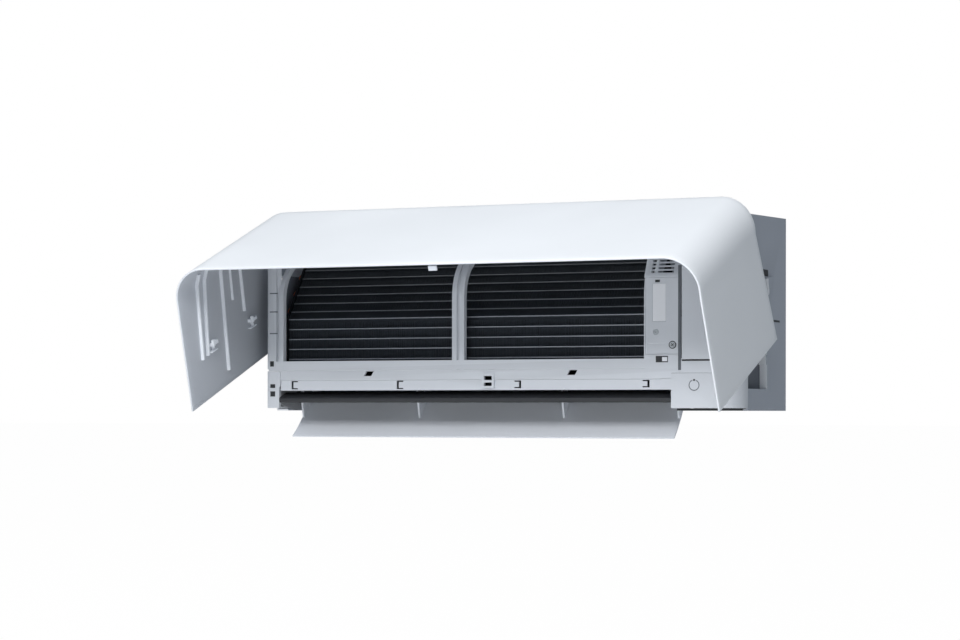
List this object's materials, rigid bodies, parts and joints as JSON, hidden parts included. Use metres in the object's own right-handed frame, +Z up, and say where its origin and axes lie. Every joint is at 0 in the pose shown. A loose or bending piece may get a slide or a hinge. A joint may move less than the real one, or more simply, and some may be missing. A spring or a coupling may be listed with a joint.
{
  "type": "mini split indoor unit",
  "caption": "Wall-mounted split air conditioner indoor unit with its wrap-round front panel lifted, coil and crossflow fan behind, and an open air vane below.",
  "frame": {"origin": "centre of the wall plate's rear face, on the wall", "axes": "+X along the unit to the viewer's right, +Y into the wall, +Z up; the front faces -Y"},
  "size_m": [0.7988, 0.4723, 0.3384],
  "materials": {
    "panel_white": "smooth satin gloss, cool white",
    "frame_plastic": "fine moulded texture, pale grey",
    "chassis_plastic": "moulded texture, mid grey",
    "dark_plastic": "charcoal, semi-matt",
    "vane_plastic": "smooth semi-matt grey",
    "coil_fins": "dark coated aluminium fins",
    "galvanised": "zinc coated sheet",
    "copper_tube": "bare copper",
    "brass_fitting": "machined",
    "board_green": "coated circuit board",
    "black_plastic": "matt black",
    "foam_black": "closed-cell foam sleeve",
    "label_blank": "plain film, no print"
  },
  "bodies": {
    "housing": {"wall_plate": "galvanised", "rear_chassis": "chassis_plastic", "outlet_housing": "dark_plastic", "front_frame": "frame_plastic", "top_grille": "frame_plastic", "left_corner_cover": "frame_plastic", "right_corner_cover": "frame_plastic", "side_cover": "frame_plastic", "terminal_cover": "frame_plastic", "cover_screw": "galvanised", "blank_label": "label_blank", "coil_front_lower": "coil_fins", "coil_front_upper": "coil_fins", "coil_rear": "coil_fins", "tube_sheet_left": "galvanised", "tube_sheet_right": "galvanised", "electrical_box": "black_plastic", "control_board": "board_green", "terminal_block": "black_plastic", "fan_motor": "galvanised", "motor_cradle": "chassis_plastic", "fan_bearing": "black_plastic", "vane_motor": "galvanised", "gas_pipe": "foam_black", "liquid_pipe": "copper_tube", "gas_flare_nut": "brass_fitting", "liquid_flare_nut": "brass_fitting", "pipe_clamp": "chassis_plastic", "switch_guide": "black_plastic"},
    "front_panel": {"front_panel": "panel_white"},
    "main_vane": {"main_vane": "vane_plastic"},
    "inner_vane": {"inner_vane": "dark_plastic"},
    "fan": {"crossflow_fan": "dark_plastic", "fan_pin": "galvanised", "motor_shaft": "galvanised"},
    "switch_button": {"switch_button": "frame_plastic"},
    "guide_vane_1": {"guide_vane_1": "dark_plastic"},
    "guide_vane_2": {"guide_vane_2": "dark_plastic"},
    "guide_vane_3": {"guide_vane_3": "dark_plastic"},
    "guide_vane_4": {"guide_vane_4": "dark_plastic"},
    "guide_vane_5": {"guide_vane_5": "dark_plastic"},
    "guide_vane_6": {"guide_vane_6": "dark_plastic"},
    "guide_vane_7": {"guide_vane_7": "dark_plastic"},
    "guide_vane_8": {"guide_vane_8": "dark_plastic"},
    "guide_link_left": {"guide_link_left": "black_plastic"},
    "guide_link_right": {"guide_link_right": "black_plastic"}
  },
  "joints": [
    {"name": "panel_hinge", "type": "hinge", "parent": "housing", "child": "front_panel", "pos_m": [0, -0.2138, 0.1273], "axis": [1, 0, 0], "range_deg": [0, 68.6]},
    {"name": "main_vane_pivot", "type": "hinge", "parent": "housing", "child": "main_vane", "pos_m": [0, -0.1614, -0.1249], "axis": [1, 0, 0], "range_deg": [-52.5, 8]},
    {"name": "inner_vane_pivot", "type": "hinge", "parent": "housing", "child": "inner_vane", "pos_m": [0, -0.207, -0.129], "axis": [1, 0, 0], "range_deg": [-20, 10]},
    {"name": "fan_spin", "type": "hinge", "parent": "housing", "child": "fan", "pos_m": [0, -0.112, -0.05], "axis": [1, 0, 0], "continuous": true},
    {"name": "switch_press", "type": "slide", "parent": "housing", "child": "switch_button", "axis": [0, 1, 0], "range_m": [0, 0.0015], "stiffness_N_per_m": 400, "springref_m": -0.001},
    {"name": "guide_vane_1_pivot", "type": "hinge", "parent": "housing", "child": "guide_vane_1", "pos_m": [-0.322, -0.1751, -0.09024], "axis": [0, -0.582, 0.8132], "range_deg": [-35, 35]},
    {"name": "guide_vane_2_pivot", "type": "hinge", "parent": "housing", "child": "guide_vane_2", "pos_m": [-0.252, -0.1751, -0.09024], "axis": [0, -0.582, 0.8132], "range_deg": [-35, 35]},
    {"name": "guide_vane_3_pivot", "type": "hinge", "parent": "housing", "child": "guide_vane_3", "pos_m": [-0.182, -0.1751, -0.09024], "axis": [0, -0.582, 0.8132], "range_deg": [-35, 35]},
    {"name": "guide_vane_4_pivot", "type": "hinge", "parent": "housing", "child": "guide_vane_4", "pos_m": [-0.112, -0.1751, -0.09024], "axis": [0, -0.582, 0.8132], "range_deg": [-35, 35]},
    {"name": "guide_vane_5_pivot", "type": "hinge", "parent": "housing", "child": "guide_vane_5", "pos_m": [-0.021, -0.1751, -0.09024], "axis": [0, -0.582, 0.8132], "range_deg": [-35, 35]},
    {"name": "guide_vane_6_pivot", "type": "hinge", "parent": "housing", "child": "guide_vane_6", "pos_m": [0.049, -0.1751, -0.09024], "axis": [0, -0.582, 0.8132], "range_deg": [-35, 35]},
    {"name": "guide_vane_7_pivot", "type": "hinge", "parent": "housing", "child": "guide_vane_7", "pos_m": [0.119, -0.1751, -0.09024], "axis": [0, -0.582, 0.8132], "range_deg": [-35, 35]},
    {"name": "guide_vane_8_pivot", "type": "hinge", "parent": "housing", "child": "guide_vane_8", "pos_m": [0.189, -0.1751, -0.09024], "axis": [0, -0.582, 0.8132], "range_deg": [-35, 35]},
    {"name": "guide_link_left_pivot", "type": "hinge", "parent": "guide_vane_1", "child": "guide_link_left", "pos_m": [-0.322, -0.1608, -0.09476], "axis": [0, -0.582, 0.8132], "range_deg": [-35, 35]},
    {"name": "guide_link_right_pivot", "type": "hinge", "parent": "guide_vane_5", "child": "guide_link_right", "pos_m": [-0.021, -0.1608, -0.09476], "axis": [0, -0.582, 0.8132], "range_deg": [-35, 35]}
  ],
  "couplings": [
    {"joint": "guide_vane_2_pivot", "follows": "guide_vane_1_pivot", "ratio": 1},
    {"joint": "guide_vane_3_pivot", "follows": "guide_vane_1_pivot", "ratio": 1},
    {"joint": "guide_vane_4_pivot", "follows": "guide_vane_1_pivot", "ratio": 1},
    {"joint": "guide_vane_6_pivot", "follows": "guide_vane_5_pivot", "ratio": 1},
    {"joint": "guide_vane_7_pivot", "follows": "guide_vane_5_pivot", "ratio": 1},
    {"joint": "guide_vane_8_pivot", "follows": "guide_vane_5_pivot", "ratio": 1},
    {"joint": "guide_link_left_pivot", "follows": "guide_vane_1_pivot", "ratio": -1},
    {"joint": "guide_link_right_pivot", "follows": "guide_vane_5_pivot", "ratio": -1}
  ]
}
